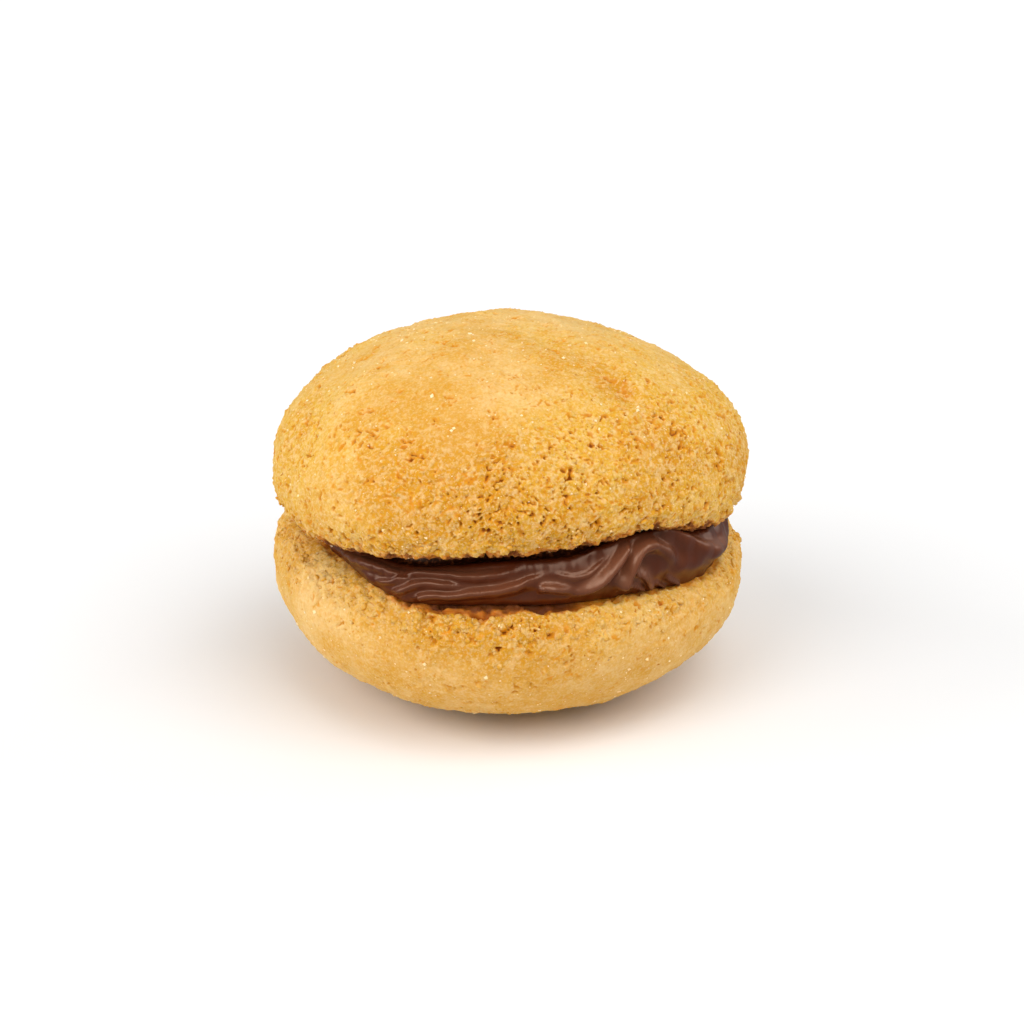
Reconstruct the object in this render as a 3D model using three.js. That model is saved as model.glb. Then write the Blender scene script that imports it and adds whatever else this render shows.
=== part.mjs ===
// A baci di dama: two domed, crumbly biscuits with their flat faces together and a layer of
// chocolate hazelnut cream between them. The halves don't sit quite parallel, so the cream
// swells out in folds along one arc and is only a thin seam on the far side.
//
// Millimetres, +Z up, front towards -Y. The biscuit stands on a small flat spot at z = 0, and
// the origin is the middle of its bounding box, at the base.
// A bearing is in degrees, turned from the front (-Y) towards +X.

import * as THREE from 'three';
import { mergeVertices } from 'three/addons/utils/BufferGeometryUtils.js';

// ---------------------------------------------------------------- driving dimensions

// A half is described dome up, as it is baked, with z = 0 at its widest line. The rim is the
// rounded part between the widest line and the flat face. Slant is how much deeper the rim is on
// one side. Curls are where the face's edge curls towards the dome, or away from it when the
// height is below 0. The bottom half is then turned over about X, so a bearing of 60 there ends
// at 120.
const TOP_BISCUIT = {
  radius: 16.95,
  domeHeight: 9.6,
  domeFullness: 2.03,
  rimDepth: 3.8,
  rimInset: 2.5,
  slant: { depth: 0.85, bearing: 160 },
  curls: [
    { height: 1.0, bearing: 40, width: 12 },
    { height: -0.35, bearing: 74, width: 16 },
    { height: -0.2, bearing: -24, width: 14 },
  ],
  outline: [
    { waves: 2, depth: 0.35, bearing: 110 },
    { waves: 3, depth: 0.45, bearing: 82 },
    { waves: 4, depth: 0.2, bearing: 62 },
  ],
  dents: [
    { bearing: 128, fromAxis: 9.2, width: 3.2, depth: 0.45 },
    { bearing: 108, fromAxis: 16, width: 4.5, depth: 0.5 },
    { bearing: -104, fromAxis: 17, width: 4.5, depth: 0.2 },
  ],
  restSpot: 0,
  position: [-0.6, -0.7, 18.0],
  tiltDegrees: [-2.9, -1.4],
};

const BOTTOM_BISCUIT = {
  radius: 17.5,
  domeHeight: 9.15,
  domeFullness: 2.2,
  rimDepth: 2.7,
  rimInset: 2.4,
  slant: { depth: 0.85, bearing: 246 },
  curls: [],
  outline: [
    { waves: 3, depth: 0.2, bearing: 67 },
    { waves: 4, depth: 0.1, bearing: 20 },
  ],
  dents: [
    { bearing: 85, fromAxis: 17, width: 5, depth: 0.4 },
  ],
  restSpot: 5.2,
  position: [-0.3, 0.8, 9.2],
  tiltDegrees: [0, 0],
};

// Low, broad swellings of the baked dough: the distance between crests, and their height.
const SWELLINGS = [
  { spacing: 11, height: 0.09, start: 0.6 },
  { spacing: 6.5, height: 0.05, start: 2.3 },
];

// The cream's side swells out between where it leaves the bottom biscuit and where it meets the
// top one. It is thin at the seam, shown along one arc, and fullest in a lobe at one end of it.
// The droop is where it hangs furthest over the bottom biscuit's rim.
const FILLING = {
  clearance: 0.25,
  seamRadius: 13.7,
  lowerRadius: 15.75,
  upperRadius: 14.2,
  bulge: 0.45,
  shown: { from: -47, to: 86, fade: 10 },
  lobe: { from: 26, to: 82, fade: 12, upperGrowth: 0.8, bulge: 0.9 },
  droop: { bearing: -12, width: 20, growth: 0.65 },
  sideFullness: 0.8,
};

// Folds of the cream where it was pressed out. Each runs from one bearing to another, while its
// height goes from one part of the layer's thickness to another; bow lifts its middle. The cream
// beside a fold sinks by a part of its depth, and a fold tapers off over the last part of its
// length.
const FOLDS = [
  { bearings: [-34, 4], heights: [0.45, 0.62], bow: 0.08, width: 0.16, depth: 0.35 },
  { bearings: [-40, 16], heights: [0.16, 0.5], bow: -0.12, width: 0.1, depth: 0.4 },
  { bearings: [10, 34], heights: [0.12, 0.86], bow: -0.1, width: 0.12, depth: 0.5 },
  { bearings: [24, 44], heights: [0.2, 0.95], bow: 0.05, width: 0.12, depth: 0.5 },
  { bearings: [42, 66], heights: [0.72, 0.3], bow: 0.12, width: 0.22, depth: 0.45 },
];
const SINK_BESIDE_FOLD = 0.3;
const FOLD_TAPER = 0.12;
const FOLD_FADE = 0.5; // how fast folds flatten out towards the two biscuits

// The part of the face's radius beyond which its edge can curl.
const CURL_START = 0.6;

// ---------------------------------------------------------------- mesh resolution

const BISCUIT_SEGMENTS = 60;
const DOME_ROWS = 12;
const RIM_ROWS = 6;
const FACE_ROWS = 2;
const FILLING_SEGMENTS = 88;
const LAYER_ROWS = 5;
const SIDE_ROWS = 14;
const OUT_OF_REACH = 100; // a height well clear of the biscuit
const CROWDING = 0.55; // how much closer the filling's columns stand where the cream shows

// ---------------------------------------------------------------- small helpers

const radians = THREE.MathUtils.degToRad;
const mix = THREE.MathUtils.lerp;
const QUARTER_TURN = Math.PI / 2;

function bearingOf(x, y) {
  return Math.atan2(x, -y);
}

// Difference of two angles, in -PI to PI.
function turnBetween(from, to) {
  return Math.atan2(Math.sin(to - from), Math.cos(to - from));
}

// 1 within an arc of bearings, fading to 0 beyond its two ends.
function withinArc(bearing, arc) {
  const middle = radians((arc.from + arc.to) / 2);
  const half = radians((arc.to - arc.from) / 2);
  const away = Math.abs(turnBetween(middle, bearing));
  return 1 - THREE.MathUtils.smoothstep(away, half - radians(arc.fade), half + radians(arc.fade));
}

function bellCurve(distance, width) {
  return Math.exp(-((distance / width) ** 2));
}

// 0 at both ends of a stretch and 1 half way along it.
function arch(along) {
  return 4 * along * (1 - along);
}

// A body of revolution about +Z, as a closed mesh that is then reshaped vertex by vertex.
function turnedBody(profile, segments, reshape) {
  const turned = new THREE.LatheGeometry(profile, segments);
  turned.rotateX(QUARTER_TURN);
  turned.deleteAttribute('normal');
  turned.deleteAttribute('uv');
  const geometry = mergeVertices(turned);
  const positions = geometry.attributes.position;
  const vertex = new THREE.Vector3();
  for (let i = 0; i < positions.count; i += 1) {
    vertex.fromBufferAttribute(positions, i);
    reshape(vertex);
    positions.setXYZ(i, vertex.x, vertex.y, vertex.z);
  }
  geometry.computeVertexNormals();
  return geometry;
}

// ---------------------------------------------------------------- the two biscuits

// From the middle of the flat face, out over the rounded rim and up the dome to the crown.
function biscuitProfile(half) {
  const faceRadius = half.radius - half.rimInset;
  const points = [];
  for (let row = 0; row < FACE_ROWS; row += 1) {
    points.push(new THREE.Vector2((faceRadius * row) / FACE_ROWS, -half.rimDepth));
  }
  for (let row = 0; row < RIM_ROWS; row += 1) {
    const turn = (1 - row / RIM_ROWS) * QUARTER_TURN;
    const radius = half.radius - half.rimInset * (1 - Math.cos(turn));
    points.push(new THREE.Vector2(radius, -half.rimDepth * Math.sin(turn)));
  }
  const power = 2 / half.domeFullness;
  for (let row = 0; row < DOME_ROWS; row += 1) {
    const turn = (row / DOME_ROWS) * QUARTER_TURN;
    const radius = half.radius * Math.cos(turn) ** power;
    points.push(new THREE.Vector2(radius, half.domeHeight * Math.sin(turn) ** power));
  }
  points.push(new THREE.Vector2(0, half.domeHeight));
  return points;
}

function outlineScale(half, bearing) {
  let depth = 0;
  for (const wave of half.outline) {
    depth += wave.depth * Math.cos(wave.waves * (bearing - radians(wave.bearing)));
  }
  return 1 + depth / half.radius;
}

function rimDepthScale(half, bearing, fromAxis) {
  const faceRadius = half.radius - half.rimInset;
  const reach = Math.min(1, fromAxis / faceRadius);
  const share = half.slant.depth / half.rimDepth;
  return 1 + share * reach * Math.cos(bearing - radians(half.slant.bearing));
}

function swelling(point) {
  let height = 0;
  for (const wave of SWELLINGS) {
    const pitch = (2 * Math.PI) / wave.spacing;
    height += wave.height * (
      Math.sin(pitch * point.x + wave.start) * Math.sin(pitch * point.y - wave.start)
      + Math.sin(pitch * (point.z + point.x - point.y) / Math.SQRT2)
    );
  }
  return height;
}

function dentDepth(half, point) {
  let depth = 0;
  for (const dent of half.dents) {
    const bearing = radians(dent.bearing);
    const across = point.x - dent.fromAxis * Math.sin(bearing);
    const along = point.y + dent.fromAxis * Math.cos(bearing);
    depth += dent.depth * bellCurve(Math.hypot(across, along), dent.width);
  }
  return depth;
}

// How far the edge of the face is curled towards the dome.
function edgeCurl(half, bearing, fromAxis) {
  const faceRadius = half.radius - half.rimInset;
  const nearEdge = THREE.MathUtils.smoothstep(fromAxis, CURL_START * faceRadius, faceRadius);
  let height = 0;
  for (const curl of half.curls) {
    const away = turnBetween(radians(curl.bearing), bearing);
    height += curl.height * nearEdge * bellCurve(away, radians(curl.width));
  }
  return height;
}

// Swellings and dents fade out over the rim, so that the face stays flat.
function reshapeBiscuit(half, vertex) {
  const fromAxis = Math.hypot(vertex.x, vertex.y);
  const bearing = bearingOf(vertex.x, vertex.y);
  const aboveFace = THREE.MathUtils.clamp(1 + vertex.z / half.rimDepth, 0, 1);
  const length = vertex.length();
  const change = aboveFace * (swelling(vertex) - dentDepth(half, vertex));
  if (vertex.z < 0) {
    const share = -vertex.z / half.rimDepth;
    vertex.z *= rimDepthScale(half, bearing, fromAxis);
    vertex.z += share * edgeCurl(half, bearing, fromAxis);
  }
  vertex.multiplyScalar(1 + change / length);
  vertex.x *= outlineScale(half, bearing);
  vertex.y *= outlineScale(half, bearing);
  const spotShare = (half.restSpot / half.radius) ** half.domeFullness;
  const ceiling = half.domeHeight * (1 - spotShare) ** (1 / half.domeFullness);
  if (half.restSpot > 0) vertex.z = Math.min(vertex.z, ceiling);
}

function makeBiscuit(name, half, faceUp) {
  const geometry = turnedBody(biscuitProfile(half), BISCUIT_SEGMENTS, (vertex) => {
    reshapeBiscuit(half, vertex);
  });
  const material = new THREE.MeshStandardMaterial({
    name: `${name}_crumb`,
    color: 0xdca24c,
    roughness: 0.85,
    metalness: 0,
  });
  const mesh = new THREE.Mesh(geometry, material);
  mesh.name = name;
  mesh.position.fromArray(half.position);
  const [forwards, sideways] = half.tiltDegrees.map(radians);
  mesh.rotation.set(faceUp ? Math.PI + forwards : forwards, sideways, 0);
  mesh.updateMatrixWorld();
  return mesh;
}

// Height of a mesh's top or underside, above a point of the base.
const caster = new THREE.Raycaster();
const UP = new THREE.Vector3(0, 0, 1);
const DOWN = new THREE.Vector3(0, 0, -1);
function topHeight(mesh, x, y) {
  caster.set(new THREE.Vector3(x, y, OUT_OF_REACH), DOWN);
  return caster.intersectObject(mesh)[0].point.z;
}

function undersideHeight(mesh, x, y) {
  caster.set(new THREE.Vector3(x, y, -OUT_OF_REACH), UP);
  return caster.intersectObject(mesh)[0].point.z;
}

// ---------------------------------------------------------------- the cream filling

// A disc of radius 1 and thickness 1 whose edge swells out a little: its height says how far up
// the side a point is, and its radius says how far out in the layer it is. Rows of the layer
// stand closer towards the edge, where the cream hangs over the biscuit's rounded rim.
function fillingProfile() {
  const points = [];
  const outwards = (row) => 1 - (1 - row / LAYER_ROWS) ** 2;
  for (let row = 0; row < LAYER_ROWS; row += 1) {
    points.push(new THREE.Vector2(outwards(row), 0));
  }
  for (let row = 0; row <= SIDE_ROWS; row += 1) {
    const rise = row / SIDE_ROWS;
    points.push(new THREE.Vector2(1 + Math.sin(Math.PI * rise), rise));
  }
  for (let row = LAYER_ROWS - 1; row >= 0; row -= 1) {
    points.push(new THREE.Vector2(outwards(row), 1));
  }
  return points;
}

function foldDepth(bearing, rise) {
  let depth = 0;
  for (const fold of FOLDS) {
    const [from, to] = fold.bearings.map(radians);
    const along = turnBetween(from, bearing) / (to - from);
    const height = mix(fold.heights[0], fold.heights[1], along) + fold.bow * arch(along);
    const fromMiddle = Math.abs(along - 0.5);
    const beyond = Math.max(0, fromMiddle - 0.5 + FOLD_TAPER);
    const crest = bellCurve(rise - height, fold.width) - SINK_BESIDE_FOLD;
    depth += fold.depth * crest * bellCurve(beyond, FOLD_TAPER);
  }
  return depth;
}

// Radius of the cream's side, from the axis, at a bearing and a part of its thickness.
function creamRadius(bearing, rise) {
  const shown = withinArc(bearing, FILLING.shown);
  const lobe = withinArc(bearing, FILLING.lobe);
  const fromDroop = turnBetween(radians(FILLING.droop.bearing), bearing);
  const droop = FILLING.droop.growth * bellCurve(fromDroop, radians(FILLING.droop.width));
  const lower = mix(FILLING.seamRadius, FILLING.lowerRadius + droop, shown);
  const fullUpper = FILLING.upperRadius + FILLING.lobe.upperGrowth * lobe;
  const upper = mix(FILLING.seamRadius, fullUpper, shown);
  const fullBulge = FILLING.bulge + FILLING.lobe.bulge * lobe;
  const bulge = fullBulge * Math.sin(Math.PI * rise) ** FILLING.sideFullness;
  const folds = foldDepth(bearing, rise) * Math.sin(Math.PI * rise) ** FOLD_FADE;
  return mix(lower, upper, rise) + shown * (bulge + folds);
}

// A point of the cream from its bearing, its part of the thickness and its part of the radius.
function creamPoint(bearing, rise, outwards) {
  const radius = outwards * creamRadius(bearing, rise);
  const [lowX, lowY] = BOTTOM_BISCUIT.position;
  const [highX, highY] = TOP_BISCUIT.position;
  const x = mix(lowX, highX, rise) + radius * Math.sin(bearing);
  const y = mix(lowY, highY, rise) - radius * Math.cos(bearing);
  return [x, y];
}

function makeFilling(bottomMesh, topMesh) {
  const middle = radians((FILLING.shown.from + FILLING.shown.to) / 2);
  const reshape = (vertex) => {
    const rise = THREE.MathUtils.clamp(vertex.z, 0, 1);
    const outwards = Math.min(1, Math.hypot(vertex.x, vertex.y));
    const turn = bearingOf(vertex.x, vertex.y);
    const bearing = turn - CROWDING * Math.sin(turn - middle);
    const low = topHeight(bottomMesh, ...creamPoint(bearing, 0, outwards));
    const high = undersideHeight(topMesh, ...creamPoint(bearing, 1, outwards));
    const [x, y] = creamPoint(bearing, rise, outwards);
    vertex.set(x, y, mix(low + FILLING.clearance, high - FILLING.clearance, rise));
  };
  const material = new THREE.MeshStandardMaterial({
    name: 'hazelnut_cream',
    color: 0x5f3420,
    roughness: 0.35,
    metalness: 0,
  });
  const mesh = new THREE.Mesh(turnedBody(fillingProfile(), FILLING_SEGMENTS, reshape), material);
  mesh.name = 'filling';
  return mesh;
}

// ---------------------------------------------------------------- the whole

const bottomBiscuit = makeBiscuit('bottom_biscuit', BOTTOM_BISCUIT, true);
const topBiscuit = makeBiscuit('top_biscuit', TOP_BISCUIT, false);
const filling = makeFilling(bottomBiscuit, topBiscuit);

const bacio = new THREE.Group();
bacio.add(bottomBiscuit, filling, topBiscuit);
const extent = new THREE.Box3().setFromObject(bacio, true);
const middle = extent.getCenter(new THREE.Vector3());
bacio.position.set(-middle.x, -middle.y, -extent.min.z);

export default bacio;
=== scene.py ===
"""Looks of a baci di dama: two crumbly domed biscuits and the folded chocolate cream between them.

Sizes are in millimetres until a mesh is made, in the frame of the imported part: +Z up, front
towards -Y. A bearing is in degrees, turned from the front towards +X.
"""
import itertools
import math
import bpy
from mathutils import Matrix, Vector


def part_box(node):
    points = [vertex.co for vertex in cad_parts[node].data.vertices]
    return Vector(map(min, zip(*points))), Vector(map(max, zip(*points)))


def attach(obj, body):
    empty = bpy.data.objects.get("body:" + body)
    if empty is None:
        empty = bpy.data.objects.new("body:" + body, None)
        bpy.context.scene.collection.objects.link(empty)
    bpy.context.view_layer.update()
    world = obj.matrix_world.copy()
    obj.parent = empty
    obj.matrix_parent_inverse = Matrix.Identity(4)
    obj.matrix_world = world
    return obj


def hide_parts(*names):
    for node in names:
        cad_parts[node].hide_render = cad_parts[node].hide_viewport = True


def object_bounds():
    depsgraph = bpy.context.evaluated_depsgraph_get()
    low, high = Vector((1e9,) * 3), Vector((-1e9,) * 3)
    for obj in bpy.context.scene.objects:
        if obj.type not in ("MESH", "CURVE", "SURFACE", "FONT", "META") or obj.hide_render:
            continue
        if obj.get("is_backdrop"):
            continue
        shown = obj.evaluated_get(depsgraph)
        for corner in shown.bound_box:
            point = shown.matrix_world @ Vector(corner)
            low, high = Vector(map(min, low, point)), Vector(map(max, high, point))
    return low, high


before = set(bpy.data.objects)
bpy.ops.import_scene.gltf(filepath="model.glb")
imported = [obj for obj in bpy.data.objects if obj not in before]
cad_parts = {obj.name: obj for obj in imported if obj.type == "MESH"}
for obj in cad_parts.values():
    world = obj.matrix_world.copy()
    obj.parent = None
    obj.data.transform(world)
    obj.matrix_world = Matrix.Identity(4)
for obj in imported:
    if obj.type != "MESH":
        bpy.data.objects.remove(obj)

from types import SimpleNamespace

import bmesh
import bpy
import numpy as np
from mathutils import Vector
from mathutils.bvhtree import BVHTree

CAD_BOX = [list(corner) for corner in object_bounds()]

MM = 0.001

# ------ camera

VIEW_ELEVATION = 22.0
VIEW_DISTANCE = 209.15
LENS = 100.0
SENSOR = 36.0
# The point looked at, from the middle of the part's box.
LOOK_AT_OFFSET = (0.34, -0.53, -0.9)

# ------ biscuits

# A lookup grid of the solid's skin around a point inside it, smoothed over its facets.
SKIN_ROWS = 180
SKIN_COLUMNS = 180
SKIN_PASSES = 2
# How far that point is from the flat face, as a part of the biscuit's height.
CENTRE_DEPTH = {"top_biscuit": 0.36, "bottom_biscuit": 0.3}
LATITUDE_SAMPLES = 4000     # points of the outline that the mesh's rings are spaced along

TRIANGLES_PER_BISCUIT = 190000
FIRST_EDGE = 0.15      # a first guess at the triangles' edges, set right in some passes
EDGE_PASSES = 4
HIDDEN_EDGE = 1.2      # edges on the flat face, where nothing shows
FACE_SHOWN = 3.0       # width of the flat face's outer ring that gets the fine mesh
RIM_ROUNDING = 2.4     # how far in from the side the flat face starts
STREWN_RIM = 4.0       # how far in from the side there are grains on it

# Median, spread, least and greatest radius of the grains of crumb and of the sugar crystals.
CRUMBS_PER_BISCUIT = 3800
CRUMB_SIZES = (0.12, 0.36, 0.06, 0.38)
CRYSTALS_PER_BISCUIT = 1000
CRYSTAL_SIZES = (0.038, 0.5, 0.025, 0.12)
# How many more grains of crumb lie along a biscuit's rim, and how far its grains stick out.
RIM_CRUMBS = {"top_biscuit": 0.9, "bottom_biscuit": 0.1}
GRAINS_RAISED = {"top_biscuit": 1.0, "bottom_biscuit": 0.7}

# Unevenness from layers of noise, each with its height and the size of its bumps: of a whole
# biscuit, along its rim, and of the levels that its flaky ledges are cut from.
BISCUIT_LAYERS = ((0.10, 5.0), (0.08, 2.1))
RIM_LAYERS = ((0.24, 0.9), (0.15, 0.45))
LEDGE_LAYERS = ((2.0, 1.5), (0.8, 0.7))
LEDGE_HEIGHT = 0.16
# The grain of the crumb: its size, and how deep the gaps and missing grains in it go.
GRAIN_SIZE = 0.36
GAP_DEPTH = 0.32
MISSING_DEPTH = 0.3
TORN_DEPTH = 0.45      # of the crumb just outside the cream

# Patches on each biscuit: bearing, height as a part of the biscuit's, width and strength. The
# crumb is broken open in the first kind and coloured darker in the second, or paler where below
# 0: mostly baked colour, with painted shade in the dent on the top's crown and at the bottom's
# left seam, and painted light on the bottom's left side under the top biscuit's overhang.
CRUMBLY = {
    "top_biscuit": (
        (0, 0.48, 4.5, 0.35), (28, 0.55, 4.5, 0.3), (-22, 0.5, 2.5, 0.15), (-16, 0.7, 3.4, -0.2),
        (50, 0.8, 3.4, 0.35), (75, 0.6, 3.4, 0.25), (-42, 0.45, 4.0, -0.18)),
    "bottom_biscuit": (
        (0, 0.9, 5.0, 0.25), (-20, 0.86, 3.0, 0.1), (-57, 0.82, 3.0, -0.15)),
}
BAKED_AND_PAINTED_SHADING = {
    "top_biscuit": (
        (-24, 0.6, 3.0, 1.3), (20, 0.33, 3.0, 0.5), (95, 0.96, 3.5, -0.7), (60, 0.8, 3.2, -0.6),
        (-14, 0.69, 3.0, 0.9), (50, 0.97, 3.2, 0.3), (-44, 0.84, 2.6, 0.6), (-22, 0.48, 2.6, 0.7),
        (54, 0.6, 2.0, 0.7), (0, 0.55, 3.0, 0.6), (45, 0.865, 1.1, 0.8), (-17, 0.6, 2.0, 0.5),
        (16, 0.94, 1.8, 0.7), (10, 0.27, 1.6, 0.4), (18, 0.84, 3.0, -0.6), (-62, 0.66, 3.5, -0.6),
        (-3, 0.82, 2.0, -0.3)),
    "bottom_biscuit": (
        (-28, 0.45, 2.6, 0.6), (-45, 0.98, 1.6, 0.7), (-57, 0.78, 2.6, -0.5), (-12, 0.8, 2.6, 0.6),
        (8, 0.7, 2.6, 0.5), (-48, 0.8, 2.0, -0.8), (33, 0.78, 3.0, -0.3), (60, 0.7, 3.0, -0.2),
        (-66, 1.0, 1.8, 0.9), (28, 0.42, 3.0, 0.4)),
}
BOTTOM_PAINTED_SHADE = 0.3      # the whole bottom biscuit coloured darker, as painted shade

# How far the top biscuit's rim is moved up at each bearing. The move fades out between two heights
# over the rim, and inwards between two distances from the biscuit's middle.
RIM_FADE_HEIGHTS = (2.0, 5.5)
RIM_FADE_RADII = (9.0, 13.5)
RIM_SHIFT = (
    (-78, 0.0), (-62, -0.28), (-46, -0.34), (-32, 0.0), (-20, 0.28), (-8, 0.22), (5, 0.36), (14, 0.52),
    (22, 0.38), (31, -0.1), (38, 0.0), (52, 0.0), (70, 0.0))

# Nut flecks in the crumb of each biscuit: bearing, part of the height and size.
FLECKS = {
    "top_biscuit": (
        (-43, 0.69, 0.26), (-163, 0.99, 0.09), (-32, 0.34, 0.2), (37, 0.73, 0.13), (64, 0.7, 0.2),
        (120, 0.6, 0.26), (-120, 0.45, 0.24), (170, 0.7, 0.22)),
    "bottom_biscuit": (
        (24, 0.62, 0.1), (95, 0.7, 0.22), (-140, 0.6, 0.24), (150, 0.45, 0.18)),
}
# Deep holes in the front of each biscuit: bearing, part of the height, width and depth.
PITS = {
    "top_biscuit": (
        (-6, 0.25, 0.24, 0.5), (-6.5, 0.21, 0.2, 0.5), (0, 0.25, 0.24, 0.4), (-15, 0.19, 0.22, 0.4),
        (-15, 0.14, 0.2, 0.3), (-18, 0.23, 0.22, 0.35), (-22, 0.31, 0.22, 0.3), (-1, 0.5, 0.2, 0.3),
        (-1.5, 0.46, 0.18, 0.3), (9, 0.34, 0.2, 0.35), (15, 0.28, 0.2, 0.4), (19, 0.27, 0.24, 0.35),
        (3, 0.18, 0.2, 0.35), (22, 0.38, 0.22, 0.4), (22.5, 0.33, 0.2, 0.4), (2.5, 0.38, 0.2, 0.3)),
    "bottom_biscuit": (
        (-17.7, 0.89, 0.26, 0.35), (-16.5, 0.77, 0.22, 0.3), (0, 0.86, 0.2, 0.3),
        (-1.5, 0.84, 0.2, 0.3), (4.5, 0.73, 0.24, 0.35), (-3.7, 0.72, 0.2, 0.25),
        (10.5, 0.82, 0.28, 0.25), (14, 0.84, 0.2, 0.3), (-8, 0.8, 0.2, 0.25), (34, 0.88, 0.22, 0.3)),
}
# Dents in the top biscuit, given in the same way.
TOP_DENTS = (
    (45, 0.86, 0.7, 0.5), (37, 0.87, 0.5, 0.14), (52, 0.93, 0.6, 0.12), (-24, 0.55, 0.7, 0.15),
    (-4, 0.62, 1.0, 0.12))

# The seeds of all noises and scatterings are counted on from this one.
SEED = 11

# ------ cream

# Around the bottom biscuit's middle: the arc where the cream is pressed out, and how far out it
# comes where it leaves the bottom biscuit and at its shoulder. Pairs are a bearing and a value.
CREAM_SHOWN_ARC = (-66, 100)
CREAM_FADE = 8.0       # in degrees, as are all fades at an arc's ends
SEAM_RADIUS = 13.4     # how far out it comes all round the back
LOWER_RADIUS = (
    (-76, 14.2), (-66, 14.5), (-52, 14.7), (-42, 15.3), (-34, 15.9), (-28, 16.3), (-15, 16.2),
    (0, 15.85), (12, 15.75), (22, 15.55), (32, 15.5), (42, 15.5), (56, 16.1), (72, 16.0), (84, 15.4),
    (104, 14.6))
SHOULDER_RADIUS = (
    (-76, 14.2), (-66, 14.4), (-52, 14.5), (-42, 15.0), (-30, 15.7), (0, 15.6), (30, 15.6), (45, 15.9),
    (62, 16.2), (76, 16.2), (90, 15.8), (104, 14.8))
# The slit between the shoulder and the top biscuit's underside.
SLIT = (
    (-66, 1.3), (-52, 1.0), (-42, 0.9), (-34, 0.95), (-22, 0.9), (-10, 0.6), (2, 0.5), (18, 0.55),
    (28, 0.35), (34, 0.3), (45, 0.15), (58, 0.25), (80, 0.2), (104, 0.4))
# How far the cream overhangs the line that it rests on, and how far its side bulges out.
OVERHANG = (
    (-66, 0.0), (-25, 0.05), (-8, 0.35), (12, 0.4), (30, 0.2), (50, 0.1), (104, 0.1))
BULGE = (
    (-66, 0.05), (-40, 0.1), (-30, 0.15), (0, 0.2), (30, 0.35), (55, 0.5), (76, 0.4), (104, 0.1))
# The crumb just outside the cream is darkest in this arc, with soaked-in cream and painted
# shadow. Below, how much further out it is torn and darkened at each bearing.
STAIN_AND_SHADOW_ARC = (-26, 18)
STAIN_AND_SHADOW_FADE = 6.0
TORN_FADE = 8.0
STAIN_AND_SHADOW_REACH = (
    (-26, 0.0), (-14, 0.1), (-9, 0.3), (-5, 0.5), (-1, 0.45), (2, 0.2), (8, 0.1), (18, 0.1), (30, 0.0))
CREAM_RAGGED = 0.14    # how unevenly the cream's edges come out

# Strokes of the knife that spread it, as raised ridges: the points each runs through, from left
# to right, as a bearing and a part of the way up the side; its height; how wide it is above and
# below its crest; how far its crest leans up (or, below 0, down); and how long its ends taper,
# as parts of its length.
STROKES = (
    # The tail at the left, with its broad soft crest.
    (((-60, 0.5), (-48, 0.56), (-40, 0.66), (-34, 0.72), (-28, 0.72), (-22, 0.7)),
     0.46, 0.78, 0.65, 0.0, 0.3, 0.3),
    (((-35, 0.38), (-32, 0.48), (-29, 0.57), (-26, 0.65), (-22, 0.7)),
     0.28, 0.34, 0.42, 0.0, 0.3, 0.4),
    # Two long ridges that run on to the middle.
    (((-26, 0.76), (-22, 0.82), (-15, 0.78), (-9, 0.72), (-2, 0.73), (6, 0.82)),
     0.42, 0.62, 0.44, 0.0, 0.2, 0.4),
    (((-30, 0.22), (-27, 0.4), (-24, 0.55), (-20, 0.64), (-14, 0.6), (-7, 0.56)),
     0.42, 0.46, 0.5, 0.0, 0.3, 0.3),
    # A lip with a round tip that laps over what is above it.
    (((-22, 0.36), (-18, 0.44), (-14, 0.43), (-9, 0.48), (-4, 0.5), (2, 0.57), (7, 0.66), (12, 0.76)),
     0.55, 0.36, 0.75, 0.15, 0.03, 0.35),
    # The short round ridge after the hollow, and faint ones over it.
    (((7, 0.5), (10, 0.54), (14, 0.49), (19, 0.4)), 0.46, 0.38, 0.42, 0.0, 0.2, 0.5),
    (((11, 0.75), (15, 0.67), (19, 0.64), (23, 0.7), (28, 0.84)), 0.22, 0.22, 0.26, 0.0, 0.3, 0.3),
    # The two steep folds at the right of the middle.
    (((13, 0.28), (20, 0.42), (25, 0.57), (29, 0.71), (33, 0.9)),
     0.68, 0.55, 0.38, -0.1, 0.5, 0.12),
    (((28, 0.32), (30, 0.43), (32, 0.61), (34, 0.73), (37, 0.81), (41, 0.78), (46, 0.62), (52, 0.44)),
     0.72, 0.5, 0.62, -0.2, 0.15, 0.4),
    # The broad lobe at the right end.
    (((40, 1.02), (46, 0.97), (51, 0.86), (57, 0.7), (66, 0.56), (80, 0.52)),
     0.5, 0.6, 0.85, 0.0, 0.15, 0.3),
    # Small torn folds under the steep ones.
    (((30, 0.39), (34, 0.34), (37, 0.24), (39, 0.12)), 0.36, 0.16, 0.28, -0.2, 0.15, 0.2),
    (((33, 0.52), (36, 0.47), (39, 0.31), (42, 0.09)), 0.42, 0.34, 0.2, -0.3, 0.15, 0.2),
    (((41, 0.3), (44, 0.18), (47, 0.05)), 0.32, 0.18, 0.22, 0.0, 0.2, 0.2),
    (((45, 0.34), (48, 0.22), (51, 0.08)), 0.3, 0.18, 0.22, 0.0, 0.2, 0.2),
)
STROKE_DEPTH = 1.15     # times each stroke's height
# Hollows between the strokes, or below 0 swellings: bearing, part of the way up, width, depth.
HOLLOWS = (
    (-38, 0.52, 1.4, -0.4), (5, 0.44, 0.9, 0.25), (-28, 0.95, 0.8, 0.15), (22, 0.82, 0.8, 0.22),
    (30, 0.6, 0.35, 0.2), (42, 0.88, 0.45, 0.2), (48, 0.62, 0.5, 0.2), (36, 0.56, 0.35, 0.25))
BAND_HEIGHT = 4.2       # of the side when it is rolled out flat
SAMPLES_PER_STROKE = 80

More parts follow.
